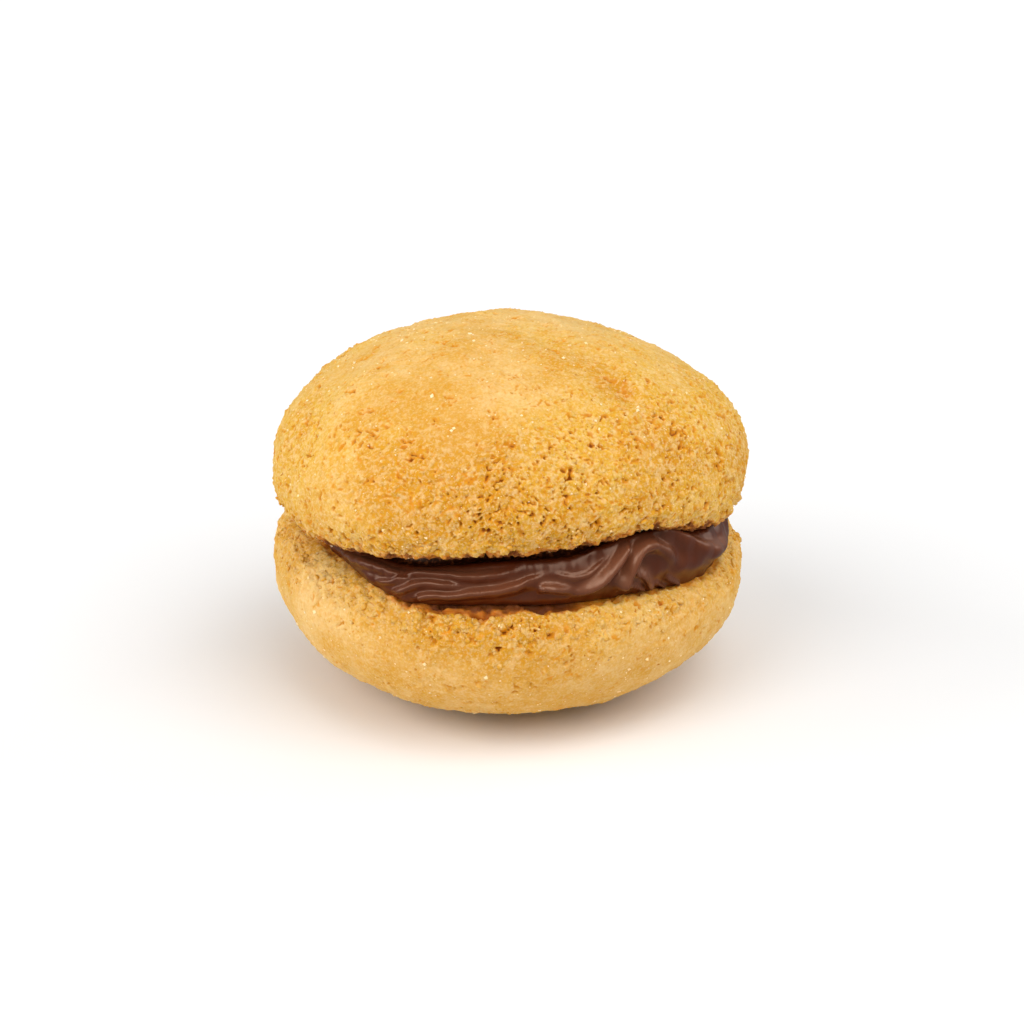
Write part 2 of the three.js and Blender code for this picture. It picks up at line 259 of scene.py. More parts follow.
# The cream's mesh: its columns are this far apart at this radius, in an arc a little wider than
# the one where it shows.
CREAM_RADIUS = 16.0
CREAM_EDGE = 0.085
CREAM_FINE_ARC = (-74.0, 106.0)
CREAM_COARSE_STEP = 2.0     # in degrees, outside that arc
CREAM_ROWS = 60
FACETS_SMOOTHED = 4.0  # degrees over which the heights of the biscuits' faces are averaged
# Its side runs through guide points, counted from 0. Three of them have names.
CONTACT_GUIDE = 1
SHOULDER_GUIDE = 5
LAST_GUIDE = 7
INNER_INSET = 1.4      # how far in from its side its hidden top and underside start
INNER_SUNK = 0.2       # how deep it runs into both biscuits there
HIDDEN_SLIT = 0.1      # the slit above it where it isn't shown
RAY_MARGIN = 5.0       # how far outside the part's box the rays to the biscuits' faces start

# ------ stage

# Soft lights from far away: the bearing and the elevation that each comes from, how wide it looks,
# all in degrees, and its strength.
SOFTBOXES = {
    "key_softbox": (-38, 41, 34, 1.05),
    "left_rim_softbox": (-80, 18, 50, 1.34),
    "top_softbox": (20, 78, 50, 0.6),
    "right_softbox": (45, 50, 50, 1.5),
    "right_rim_softbox": (112, 25, 40, 0.5),
}
WORLD_LIGHT = 0.26     # how strongly the white background lights the object
FLOOR_SIDE = 4.0       # in metres


# ====== noise

def hashed(cells, seed):
    """A random whole number for each lattice cell, as 32-bit integers."""
    x, y, z = (cells[:, k].astype(np.int64).astype(np.uint32) for k in range(3))
    value = x * np.uint32(0x8DA6B343) + y * np.uint32(0xD8163841) + z * np.uint32(0xCB1AB31F)
    value = value + np.uint32(seed * 0x9E3779B1 & 0xFFFFFFFF)
    for multiplier in (0x85EBCA6B, 0xC2B2AE35):
        value = (value ^ (value >> np.uint32(15))) * np.uint32(multiplier)
    return value ^ (value >> np.uint32(16))


def unit_numbers(value, count):
    """Several numbers from 0 to 1 out of each random whole number."""
    columns = []
    for _ in range(count):
        value = (value ^ (value >> np.uint32(13))) * np.uint32(0x5BD1E995)
        columns.append((value >> np.uint32(8)).astype(np.float64) / float(1 << 24))
    return np.stack(columns, 1)


def noise(points, size, seed):
    """Smooth gradient noise, about -1 to 1, whose features are size across."""
    scaled = points / size
    base = np.floor(scaled)
    part = scaled - base
    fade = part * part * part * (part * (part * 6 - 15) + 10)
    total = np.zeros(len(points))
    for corner in itertools.product((0, 1), repeat=3):
        slope = unit_numbers(hashed(base + corner, seed), 3) * 2 - 1
        height = ((part - corner) * slope).sum(1)
        weight = np.ones(len(points))
        for axis in range(3):
            weight *= fade[:, axis] if corner[axis] else 1 - fade[:, axis]
        total += weight * height
    return total * 1.6


def layered(points, layers, seed):
    """Layers of noise, each given by its height and the size of its bumps."""
    return sum(height * noise(points, size, seed + k) for k, (height, size) in enumerate(layers))


def warped(points, size, amount, seed):
    """Points moved about by noise, so that shapes made from them come out irregular."""
    moves = [noise(points, size, seed + k) for k in range(3)]
    return points + amount * np.stack(moves, 1)


def scattered_cells(points, size, seed):
    """Distance to the nearest of scattered points, how much further the next one is, and a
    random number that belongs to the nearest. Distances are in cell sizes."""
    scaled = points / size
    base = np.floor(scaled)
    nearest, second = np.full((2, len(points)), 9.0)
    tone = np.zeros(len(points))
    for offset in itertools.product((-1, 0, 1), repeat=3):
        cell = base + offset
        random = unit_numbers(hashed(cell, seed), 4)
        centre = cell + 0.5 + 0.95 * (random[:, :3] - 0.5)
        distance = np.sqrt(((scaled - centre) ** 2).sum(1))
        closer = distance < nearest
        second = np.where(closer, nearest, np.minimum(second, distance))
        tone = np.where(closer, random[:, 3], tone)
        nearest = np.minimum(nearest, distance)
    return nearest, second - nearest, tone


def ramp(value, low, high):
    """0 below low, 1 above high, smooth between."""
    part = np.clip((value - low) / (high - low), 0, 1)
    return part * part * (3 - 2 * part)


# ====== places on the part

def node_box(node):
    """The low and high corners of a CAD node's box."""
    return [np.array(corner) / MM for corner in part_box(node)]


def cream_centre():
    """A point of the upright line that the cream's bearings turn about."""
    return sum(node_box("bottom_biscuit")) / 2


def around_axis(points, middle):
    """Bearings of points around an upright line, and their distances from it."""
    across, back = (points - middle)[:, :2].T
    return np.degrees(np.arctan2(across, -back)), np.hypot(across, back)


def turned_from(bearings, place):
    """How far bearings are turned from another one, from -180 to 180."""
    return (bearings - place + 180) % 360 - 180


def unit(vectors):
    return vectors / np.maximum(np.linalg.norm(vectors, axis=-1, keepdims=True), 1e-12)


# ====== mesh helpers

def above_floor(vertices):
    """Vertices in millimetres, with those below the part's box moved up to its underside."""
    vertices[:, 2] = np.maximum(vertices[:, 2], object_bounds()[0][2] / MM)
    return vertices


def new_piece(name, vertices, faces, attributes=None, smooth=True):
    """A piece that rides the part's body: a mesh in metres, made from arrays in millimetres."""
    mesh = bpy.data.meshes.new(name)
    mesh.vertices.add(len(vertices))
    mesh.vertices.foreach_set("co", (vertices * MM).astype(np.float32).ravel())
    mesh.loops.add(faces.size)
    mesh.loops.foreach_set("vertex_index", faces.astype(np.int32).ravel())
    mesh.polygons.add(len(faces))
    sides = faces.shape[1]
    mesh.polygons.foreach_set("loop_start", np.arange(len(faces), dtype=np.int32) * sides)
    mesh.update(calc_edges=True)
    mesh.polygons.foreach_set("use_smooth", np.full(len(faces), smooth))
    for key, values in (attributes or {}).items():
        layer = mesh.attributes.new(key, "FLOAT", "POINT")
        layer.data.foreach_set("value", values.astype(np.float32))
    mesh.validate()
    piece = bpy.data.objects.new(name, mesh)
    bpy.context.scene.collection.objects.link(piece)
    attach(piece, "root")
    return piece


def vertex_normals(vertices, triangles):
    corners = vertices[triangles]
    flat = np.cross(corners[:, 1] - corners[:, 0], corners[:, 2] - corners[:, 0])
    total = np.zeros_like(vertices)
    for k in range(3):
        np.add.at(total, triangles[:, k], flat)
    return unit(total)


def fan(ring, tip):
    """Triangles from each edge of a closed ring of vertices to one more vertex."""
    return np.stack([ring, np.roll(ring, -1), np.full_like(ring, tip)], 1)


def solid_tree(node):
    """A search tree over a CAD node's mesh, in millimetres."""
    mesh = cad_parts[node].data
    points = [vertex.co / MM for vertex in mesh.vertices]
    return BVHTree.FromPolygons(points, [tuple(face.vertices) for face in mesh.polygons])


# ====== biscuit form

def skin_lookup(node, centre):
    """The solid's skin around a point inside it: distances on a grid of latitudes and bearings,
    which are in radians here and in the mesh made from it."""
    tree = solid_tree(node)
    latitudes = np.linspace(-math.pi / 2, math.pi / 2, SKIN_ROWS)
    bearings = np.arange(SKIN_COLUMNS) / SKIN_COLUMNS * 2 * math.pi
    grid = np.zeros((SKIN_ROWS, SKIN_COLUMNS))
    for row, latitude in enumerate(latitudes):
        for column, bearing in enumerate(bearings):
            ray = Vector(direction(latitude, bearing))
            grid[row, column] = tree.ray_cast(centre, ray)[3]
    for _ in range(SKIN_PASSES):
        padded = np.pad(grid, ((1, 1), (0, 0)), mode="edge")
        grid = (padded[:-2] + 2 * grid + padded[2:]) / 4
        grid = (np.roll(grid, 1, 1) + 2 * grid + np.roll(grid, -1, 1)) / 4
    return grid


def direction(latitude, bearing):
    """A unit vector, from angles in radians."""
    return (math.cos(latitude) * math.sin(bearing), -math.cos(latitude) * math.cos(bearing),
            math.sin(latitude))


def cubic_weights(part):
    """Catmull-Rom weights of the four grid lines around a place between two of them."""
    square, cube = part * part, part * part * part
    return ((-cube + 2 * square - part) / 2, (3 * cube - 5 * square + 2) / 2,
            (-3 * cube + 4 * square + part) / 2, (cube - square) / 2)


def look_up(grid, latitude, bearing):
    row = (latitude / math.pi + 0.5) * (SKIN_ROWS - 1)
    column = bearing / (2 * math.pi) * SKIN_COLUMNS
    row_base, column_base = np.floor(row).astype(int), np.floor(column).astype(int)
    row_weights = cubic_weights(row - row_base)
    column_weights = cubic_weights(column - column_base)
    total = np.zeros(len(latitude))
    for a in range(4):
        rows = np.clip(row_base + a - 1, 0, SKIN_ROWS - 1)
        for b in range(4):
            columns = (column_base + b - 1) % SKIN_COLUMNS
            total += row_weights[a] * column_weights[b] * grid[rows, columns]
    return total


def ring_latitudes(grid, edge, face_edge_latitude, dome_sign):
    """Latitudes of the rings of vertices, close where the biscuit shows, wide on its hidden face."""
    latitude = np.linspace(-math.pi / 2, math.pi / 2, LATITUDE_SAMPLES)
    mean = np.interp(latitude, np.linspace(-math.pi / 2, math.pi / 2, SKIN_ROWS), grid.mean(1))
    out, up = mean * np.cos(latitude), mean * np.sin(latitude)
    step = np.hypot(np.diff(out), np.diff(up))
    hidden = dome_sign * latitude[1:] < face_edge_latitude
    spacing = np.where(hidden, HIDDEN_EDGE, edge) * math.sqrt(3) / 2
    count = np.concatenate([[0], np.cumsum(step / spacing)])
    rows = int(count[-1])
    places = (np.arange(rows) + 0.5) * count[-1] / rows
    chosen = np.interp(places, count, latitude)
    edges = np.where(dome_sign * chosen < face_edge_latitude, HIDDEN_EDGE, edge)
    circumference = 2 * math.pi * np.interp(chosen, latitude, out)
    return chosen, np.maximum(6, np.round(circumference / edges)).astype(int)


def zipped(first_a, count_a, first_b, count_b):
    """Triangles that join two rings of vertices with different counts."""
    turn = np.concatenate([np.arange(1, count_a + 1) / count_a, np.arange(1, count_b + 1) / count_b])
    is_a = np.concatenate([np.ones(count_a, bool), np.zeros(count_b, bool)])
    order = np.lexsort((is_a, turn))
    is_a = is_a[order]
    done_a = np.cumsum(is_a) - is_a
    done_b = np.cumsum(~is_a) - ~is_a
    a = first_a + done_a % count_a
    b = first_b + done_b % count_b
    next_a = first_a + (done_a + 1) % count_a
    next_b = first_b + (done_b + 1) % count_b
    return np.stack([a, np.where(is_a, next_a, next_b), b], 1)


def ringed_body(grid, centre, latitudes, counts):
    """A closed mesh of rings around a centre, with a vertex at each pole."""
    first = np.concatenate([[1], 1 + np.cumsum(counts)])
    latitude = np.concatenate([[-math.pi / 2], np.repeat(latitudes, counts), [math.pi / 2]])
    turns = [np.arange(count) / count * 2 * math.pi + math.pi for count in counts]
    bearing = np.concatenate([[0.0], *turns, [0.0]]) % (2 * math.pi)
    distance = look_up(grid, latitude, bearing)
    out = distance * np.cos(latitude)
    vertices = np.stack([out * np.sin(bearing), -out * np.cos(bearing), distance * np.sin(latitude)], 1)
    triangles = [zipped(first[k], counts[k], first[k + 1], counts[k + 1])
                 for k in range(len(counts) - 1)]
    triangles.append(fan(1 + np.arange(counts[0]), 0)[:, [1, 0, 2]])
    triangles.append(fan(first[-2] + np.arange(counts[-1]), first[-1]))
    return vertices + np.array(centre), np.concatenate(triangles)


def biscuit_form(node, dome_up):
    """The smooth form of a biscuit, as a fine mesh: vertices, triangles and normals."""
    low, high = node_box(node)
    middle = (low + high) / 2
    depth = CENTRE_DEPTH[node] * (high[2] - low[2])
    centre = Vector((middle[0], middle[1], low[2] + depth if dome_up else high[2] - depth))
    grid = skin_lookup(node, centre)
    face_edge = -math.atan2(depth, (high[0] - low[0]) / 2 - RIM_ROUNDING - FACE_SHOWN)
    edge = FIRST_EDGE
    for _ in range(EDGE_PASSES):
        latitudes, counts = ring_latitudes(grid, edge, face_edge, 1 if dome_up else -1)
        edge *= math.sqrt(2 * counts.sum() / TRIANGLES_PER_BISCUIT)
    vertices, triangles = ringed_body(grid, centre, latitudes, counts)
    return vertices, triangles, vertex_normals(vertices, triangles)


# ====== biscuit crumb relief

def crumb_relief(points, crumbly, seed):
    """Height of the crumb's surface in mm, and how deep in a gap or crevice each point is."""
    relief = layered(points, BISCUIT_LAYERS, seed)
    ledges, crevice = flaky_ledges(points, seed + 30)
    relief += (0.65 + 0.55 * crumbly) * ledges
    grains = warped(points, 0.4, 0.2, seed + 6)
    nearest, margin, tone = scattered_cells(grains, GRAIN_SIZE, seed + 9)
    crease = 1 - ramp(margin, 0.0, 0.35)
    relief += (0.11 * (tone - 0.5) - 0.06 * crease) * (0.35 + 0.65 * crumbly)
    open_crumb = ramp(noise(points, 1.6, seed + 12) + 0.9 * crumbly, 0.4, 0.95)
    gap = ramp(nearest, 0.66, 0.84) * open_crumb
    deep = tone > 0.984 - 0.035 * open_crumb
    missing = deep * (1 - ramp(nearest, 0.15, 0.5)) * (0.4 + 0.6 * crumbly)
    relief -= GAP_DEPTH * gap + MISSING_DEPTH * missing
    # How recessed each point is, which the crumb's colour darkens as painted shade.
    recess = gap + missing + 0.25 * crease * crumbly + crevice * (0.35 + 0.4 * crumbly)
    return relief, np.clip(recess, 0, 1)


def flaky_ledges(points, seed):
    """Short, low ledges like overlapping flakes, and the crevices along the foot of each."""
    places = warped(warped(points, 1.0, 0.35, seed), 0.4, 0.15, seed + 20)
    level = layered(places, LEDGE_LAYERS, seed + 3)
    part = level - np.floor(level)
    shown = ramp(noise(points, 1.1, seed + 5), 0.0, 0.35)
    ledges = LEDGE_HEIGHT * shown * ramp(part, 0.0, 0.2) * (1 - part)
    return ledges, shown * ramp(part, 0.8, 0.96)


def patchwork(points, node, patches):
    """How strongly each point lies in some of a biscuit's patches."""
    low, high = node_box(node)
    bearing, from_axis = around_axis(points, (low + high) / 2)
    total = np.zeros(len(points))
    for place, height, width, strength in patches:
        across = np.radians(turned_from(bearing, place)) * from_axis
        along = points[:, 2] - low[2] - height * (high[2] - low[2])
        total += strength * np.exp(-(across ** 2 + along ** 2) / width ** 2)
    return total


def crumbliness(points, node):
    """How open the crumb is, up to 1. The top biscuit is smooth and baked over its crown and
    crumbly low down, and the bottom one crumbly near the cream and smoother underneath."""
    low, high = node_box(node)
    height = (points[:, 2] - low[2]) / (high[2] - low[2])
    if node == "top_biscuit":
        value = 0.27 + 0.4 * (1 - ramp(height, 0.62, 1.0)) + 0.15 * noise(points, 5.0, SEED)
    else:
        value = 0.15 + 0.35 * ramp(height, 0.4, 1.0) + 0.15 * noise(points, 5.0, SEED + 1)
    return np.clip(value + patchwork(points, node, CRUMBLY[node]), 0.05, 1)


def beyond_cream(points, reach):
    """Bearings of points, how far they lie outside the cream's front edge, moved out by a part of
    the stain's reach, and 1 on the bottom biscuit's upper side."""
    middle = cream_centre()
    bearing, from_axis = around_axis(points, middle)
    outside = from_axis - around(LOWER_RADIUS, bearing) - reach * around(STAIN_AND_SHADOW_REACH, bearing)
    return bearing, outside, ramp(points[:, 2], middle[2], middle[2] + 3)


def cream_stain_and_shadow(points):
    """Where the bottom biscuit's crumb is dark with soaked-in cream and with painted shadow under
    the cream, up to just outside its front edge.
    """
    bearing, outside, face = beyond_cream(points, 0.3)
    edge = 1 - ramp(outside + 0.3 * noise(points, 0.7, SEED + 2), -0.2, 0.55)
    return edge * face * (0.35 + 0.65 * in_arc(bearing, STAIN_AND_SHADOW_ARC, STAIN_AND_SHADOW_FADE))


def torn_band(points):
    """Up to 1 on the torn crumb along the cream's front edge, 0 elsewhere."""
    bearing, outside, face = beyond_cream(points, 1.0)
    ragged = outside + 0.4 * noise(points, 0.8, SEED + 2)
    edge = ramp(ragged, -1.0, -0.3) * (1 - ramp(ragged, -0.05, 0.35))
    share = 0.45 + 0.55 * in_arc(bearing, STAIN_AND_SHADOW_ARC, TORN_FADE)
    return edge * face * share * in_arc(bearing, CREAM_SHOWN_ARC, STAIN_AND_SHADOW_FADE)


def rim_edge(inward):
    """1 along a biscuit's rim, where its side turns in to the face that meets the cream."""
    return ramp(inward, 0.1, 0.4) * (1 - ramp(inward, 0.75, 0.95))


def rim_shift(points):
    """How far each point of the top biscuit moves up with its rim."""
    low, high = node_box("top_biscuit")
    bearing, from_axis = around_axis(points, (low + high) / 2)
    near = 1 - ramp(points[:, 2] - low[2], *RIM_FADE_HEIGHTS)
    return near * ramp(from_axis, *RIM_FADE_RADII) * around(RIM_SHIFT, bearing)


def make_biscuit(name, seed):
    """A biscuit's crust, its crumbs, its sugar crystals and its nut flecks."""
    dome_up = name == "top_biscuit"
    points, triangles, normals = biscuit_form(name, dome_up)
    crumbly = crumbliness(points, name)
    inward = normals[:, 2] * (-1 if dome_up else 1)
    rim = rim_edge(inward)
    relief, recess = crumb_relief(points, crumbly, seed)
    relief += rim * layered(points, RIM_LAYERS, seed + 40)
    pits = patchwork(warped(points, 0.5, 0.25, seed + 43), name, PITS[name])
    relief -= pits
    recess = np.maximum(recess, np.clip(2.5 * pits, 0, 1))
    # Patches of deeper or paler colour: mostly baked colour, partly painted light and shade.
    baked = patchwork(points, name, BAKED_AND_PAINTED_SHADING[name])
    if dome_up:
        # The top biscuit's underside in the cream's arc is coloured dark: partly cream soaked in,
        # partly painted shade under its rim.
        in_cream_arc = in_arc(around_axis(points, cream_centre())[0], CREAM_SHOWN_ARC, STAIN_AND_SHADOW_FADE)
        underside = ramp(-normals[:, 2] + 0.25 * noise(points, 0.6, seed + 44), 0.5, 0.9)
        stain_and_shade = 0.9 * in_cream_arc * underside
        relief -= patchwork(points, name, TOP_DENTS)
    else:
        # Soaked-in cream and painted shadow under and just outside the cream's front edge.
        band = torn_band(points)
        stain_and_shade = np.maximum(cream_stain_and_shadow(points), 0.6 * band)
        torn = ramp(noise(points, 0.7, seed + 42), -0.4, 0.4)
        relief -= TORN_DEPTH * band * torn
        recess = np.maximum(recess, band * (0.3 + 0.7 * torn))
        # Painted shade: the whole bottom biscuit coloured darker and deeper.
        baked += BOTTOM_PAINTED_SHADE
    vertices = points + normals * relief[:, None]
    if dome_up:
        vertices[:, 2] += rim_shift(points)
    vertices = above_floor(vertices)
    attributes = {"recess": recess, "crumbly": crumbly, "stain_and_shade": stain_and_shade, "baked": baked}
    piece = new_piece(name + "_crust", vertices, triangles, attributes)
    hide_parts(name)
    low, high = vertices.min(0), vertices.max(0)
    bearing, from_axis = around_axis(vertices, (low + high) / 2)
    on_face = (inward > 0.9) & (from_axis < (high[0] - low[0]) / 2 - STREWN_RIM)
    crust = SimpleNamespace(
        vertices=vertices, triangles=triangles, normals=normals, attributes=attributes, rim=rim,
        bearing=bearing, height=(vertices[:, 2] - low[2]) / (high[2] - low[2]),
        shown=1 - on_face, level=np.clip(1 - 2.5 * recess, 0, 1))
    return (piece, make_crumbs(name, crust, seed + 60), make_sugar(name, crust, seed + 61),
            make_flecks(name, crust, seed + 62))


# ====== crumbs

def grain_template(create, **sizes):
    """The corners and triangles of a regular body."""
    mesh = bmesh.new()
    create(mesh, **sizes)
    bmesh.ops.triangulate(mesh, faces=mesh.faces)
    corners = np.array([vertex.co for vertex in mesh.verts])
    triangles = np.array([[vertex.index for vertex in face.verts] for face in mesh.faces])
    mesh.free()
    return corners, triangles


def round_template():
    """A body with twenty faces."""
    return grain_template(bmesh.ops.create_icosphere, subdivisions=1, radius=1.0)


def chosen_spots(crust, weight, count, random):
    """Random triangles of a crust, more of them where the weight is high, and a place in each."""
    first, second, third = crust.vertices[crust.triangles].transpose(1, 0, 2)
    area = np.linalg.norm(np.cross(second - first, third - first), axis=1)
    chance = area * (weight * crust.shown)[crust.triangles].mean(1)
    chosen = crust.triangles[random.choice(len(area), count, p=chance / chance.sum())]
    return chosen, random.dirichlet((1, 1, 1), count)


def at_spots(spots, values):
    """Values of a mesh's vertices, worked out at chosen spots."""
    chosen, share = spots
    shape = share.shape + (1,) * (values.ndim - 1)
    return (values[chosen] * share.reshape(shape)).sum(1)


def scattered_grains(template, crust, spots, size, flatness, sink, random):
    """Irregular grains made from a template, lying on a crust and partly sunk into it: their
    vertices, their triangles and how high up its own grain each vertex is."""
    corners, faces = template
    place, count = at_spots(spots, crust.vertices), len(size)
    normal = unit(at_spots(spots, crust.normals) + 0.3 * random.normal(size=(count, 3)))
    across = unit(np.cross(normal, random.normal(size=(count, 3))))
    axes = np.stack([across, np.cross(normal, across), normal], 1)
    shape = np.stack([np.ones(count), random.uniform(0.65, 1.1, count), flatness], 1) * size[:, None]
    own = corners[None] * random.uniform(0.68, 1.2, (count, len(corners), 1))
    points = place[:, None, :] + (own * shape[:, None, :]) @ axes
    points -= (normal * (sink * size)[:, None])[:, None, :]
    triangles = faces[None] + len(corners) * np.arange(count)[:, None, None]
    return above_floor(points.reshape(-1, 3)), triangles.reshape(-1, 3), own[:, :, 2].ravel()


def grain_sizes(sizes, factors, random):
    """Random sizes with many small and a few big ones, each times its factor."""
    median, spread, least, greatest = sizes
    return np.clip(random.lognormal(math.log(median), spread, len(factors)) * factors, least, greatest)


def make_crumbs(name, crust, seed):
    """Grains of crumb all over a biscuit's crust, sunk deeper where it is smooth, and loose and
    bigger along its rim."""
    random = np.random.default_rng(seed)
    crumbly = crust.attributes["crumbly"]
    weight = crust.level * np.clip(crumbly - 0.15, 0.02, 1) + RIM_CRUMBS[name] * crust.rim
    spots = chosen_spots(crust, weight, CRUMBS_PER_BISCUIT, random)
    loose = at_spots(spots, crust.rim)
    rough = np.clip(at_spots(spots, crumbly) + 0.3 * loose, 0, 1) * GRAINS_RAISED[name]
    template = round_template()
    size = grain_sizes(CRUMB_SIZES, 0.85 + 0.25 * rough + 0.65 * loose, random)
    flatness = random.uniform(0.45, 0.75, len(size))
    points, faces, tip = scattered_grains(template, crust, spots, size, flatness,
                                          0.65 - 0.42 * rough, random)
    shades = {key: at_spots(spots, crust.attributes[key]) for key in ("crumbly", "baked", "stain_and_shade")}
    shades["tone"] = random.random(len(size))
    shades = {key: np.repeat(values, len(template[0])) for key, values in shades.items()}
    shades["tip"] = tip
    return new_piece(name + "_crumbs", points, faces, shades)


def make_sugar(name, crust, seed):
    """Tiny pale crystals that glint all over a crust."""
    random = np.random.default_rng(seed)
    spots = chosen_spots(crust, crust.level, CRYSTALS_PER_BISCUIT, random)
    size = grain_sizes(CRYSTAL_SIZES, np.ones(CRYSTALS_PER_BISCUIT), random)
    flatness = random.uniform(0.6, 1.0, len(size))
    box = grain_template(bmesh.ops.create_cube, size=2.0)
    points, faces, _ = scattered_grains(box, crust, spots, size, flatness, 0.3, random)
    return new_piece(name + "_sugar", points, faces, smooth=False)


def make_flecks(name, crust, seed):
    """Flecks of nut set into a crust, each at the place nearest to its bearing and height."""
    random = np.random.default_rng(seed)
    chosen = []
    for place, height, _ in FLECKS[name]:
        # A turn of 60 degrees counts as much as the whole height. Hidden places count as far away.
        away = (turned_from(crust.bearing, place) / 60) ** 2 + (crust.height - height) ** 2
        chosen.append([(away + 9 * (crust.shown < 0.5)).argmin()])
    spots = np.array(chosen), np.ones((len(chosen), 1))
    size = np.array([size for _, _, size in FLECKS[name]])
    flatness = np.full(len(size), 0.5)
    points, faces, _ = scattered_grains(round_template(), crust, spots, size, flatness, 0.15, random)
    return new_piece(name + "_flecks", points, faces)


# ====== cream: form

def joined(places, values, at):
    """Values known at a few places, joined by a smooth curve."""
    places, values = np.array(places, float), np.array(values, float)
    slopes = np.gradient(values, places, axis=0)
    k = np.clip(np.searchsorted(places, at) - 1, 0, len(places) - 2)
    gap = places[k + 1] - places[k]
    part = np.clip((at - places[k]) / gap, 0, 1)
    if values.ndim > 1:
        gap, part = gap[:, None], part[:, None]
    square, cube = part ** 2, part ** 3
    return ((2 * cube - 3 * square + 1) * values[k] + (cube - 2 * square + part) * gap * slopes[k]
            + (3 * square - 2 * cube) * values[k + 1] + (cube - square) * gap * slopes[k + 1])


def around(curve, bearings):
    """A curve given as pairs of bearing and value, at many bearings."""
    places, values = zip(*curve)
    return joined(places, values, np.clip(bearings, places[0], places[-1]))


def in_arc(bearings, arc, fade):
    """1 within an arc of bearings, fading to 0 at its two ends."""
    low, high = arc
    return ramp(bearings, low - fade, low + fade) * (1 - ramp(bearings, high - fade, high + fade))


def cream_columns():
    """Bearings of the cream's columns, close together where it shows and wide elsewhere."""
    step = math.degrees(CREAM_EDGE / CREAM_RADIUS)
    low, high = CREAM_FINE_ARC
    fine = np.linspace(low, high, int((high - low) / step), endpoint=False)
    coarse = np.linspace(high, low + 360, int((low + 360 - high) / CREAM_COARSE_STEP), endpoint=False)
    return turned_from(np.concatenate([fine, coarse]), 0)


def face_heights(node, radii, bearings):
    """Heights of a biscuit's face that meets the cream, at given radii and bearings."""
    tree, centre = solid_tree(node), cream_centre()
    down = node == "bottom_biscuit"
    ray = Vector((0, 0, -1 if down else 1))
    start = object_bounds()[1][2] / MM + RAY_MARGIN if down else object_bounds()[0][2] / MM - RAY_MARGIN
    heights = []
    for radius, bearing in zip(radii, np.radians(bearings)):
        x = centre[0] + radius * math.sin(bearing)
        y = centre[1] - radius * math.cos(bearing)
        heights.append(tree.ray_cast(Vector((x, y, start)), ray)[0].z)
    return smoothed_round(np.array(heights), bearings)


def smoothed_round(values, bearings):
    """Values at uneven bearings, averaged over a few degrees to take out the solid's facets."""
    away = turned_from(bearings[:, None], bearings[None, :])
    spacing = np.abs(turned_from(np.roll(bearings, -1), np.roll(bearings, 1)))
    weight = np.exp(-(away / FACETS_SMOOTHED) ** 2) * spacing[None, :]
    return weight @ values / weight.sum(1)


def cream_profile(bearings):
    """For each bearing, the guide points of the cream's side from the bottom biscuit's face to
    the top one's underside, as radii and heights."""
    shown = in_arc(bearings, CREAM_SHOWN_ARC, CREAM_FADE)
    lower, shoulder = (SEAM_RADIUS + shown * (around(curve, bearings) - SEAM_RADIUS)
                       for curve in (LOWER_RADIUS, SHOULDER_RADIUS))
    inner = np.minimum(lower, shoulder) - INNER_INSET
    edge = np.column_stack([flat_place(bearings, np.zeros(len(bearings))), np.zeros(len(bearings))])
    lower += shown * CREAM_RAGGED * noise(edge, 1.1, SEED + 51)
    shoulder += shown * CREAM_RAGGED * noise(edge, 0.9, SEED + 52)
    low, inner_low = (face_heights("bottom_biscuit", radii, bearings) for radii in (lower, inner))
    roof, inner_roof = (face_heights("top_biscuit", radii, bearings) for radii in (shoulder, inner))
    high = roof - (HIDDEN_SLIT + shown * (around(SLIT, bearings) - HIDDEN_SLIT))
    thick = high - low
    bulge = shown * around(BULGE, bearings)
    guides = (
        # Sunk into the bottom biscuit's face, and on it under the cream's overhang.
        (inner, inner_low - INNER_SUNK),
        (lower - 0.3 - shown * around(OVERHANG, bearings), low - 0.12),
        # Up the side to the shoulder.
        (lower, low + 0.14 * thick),
        (lower + 0.35 * (shoulder - lower) + bulge, low + 0.42 * thick),
        (shoulder + 0.5 * bulge, low + 0.78 * thick),
        # Over the shoulder into the slit, and sunk into the top biscuit's face.
        (shoulder - 0.35, high),
        (inner + 0.4, np.minimum(high + 0.04, inner_roof - 0.1)),
        (inner, inner_roof + INNER_SUNK),
    )
    return (np.stack(values) for values in zip(*guides))


def cream_surface(bearings, steps):
    """The cream's side as a grid of points: one row for each step along the guide points."""
    radii, heights = cream_profile(bearings)
    centre, angle = cream_centre(), np.radians(bearings)
    guides = np.arange(LAST_GUIDE + 1)
    rows = []
    for weights in joined(guides, np.eye(len(guides)), steps):
        radius = weights @ radii
        rows.append((centre[0] + radius * np.sin(angle), centre[1] - radius * np.cos(angle),
                     weights @ heights))
    return np.array(rows).transpose(0, 2, 1)


def flat_place(bearings, rises):
    """Places on the cream's side rolled out flat, in mm."""
    return np.stack([np.radians(bearings) * CREAM_RADIUS, np.asarray(rises) * BAND_HEIGHT], -1)


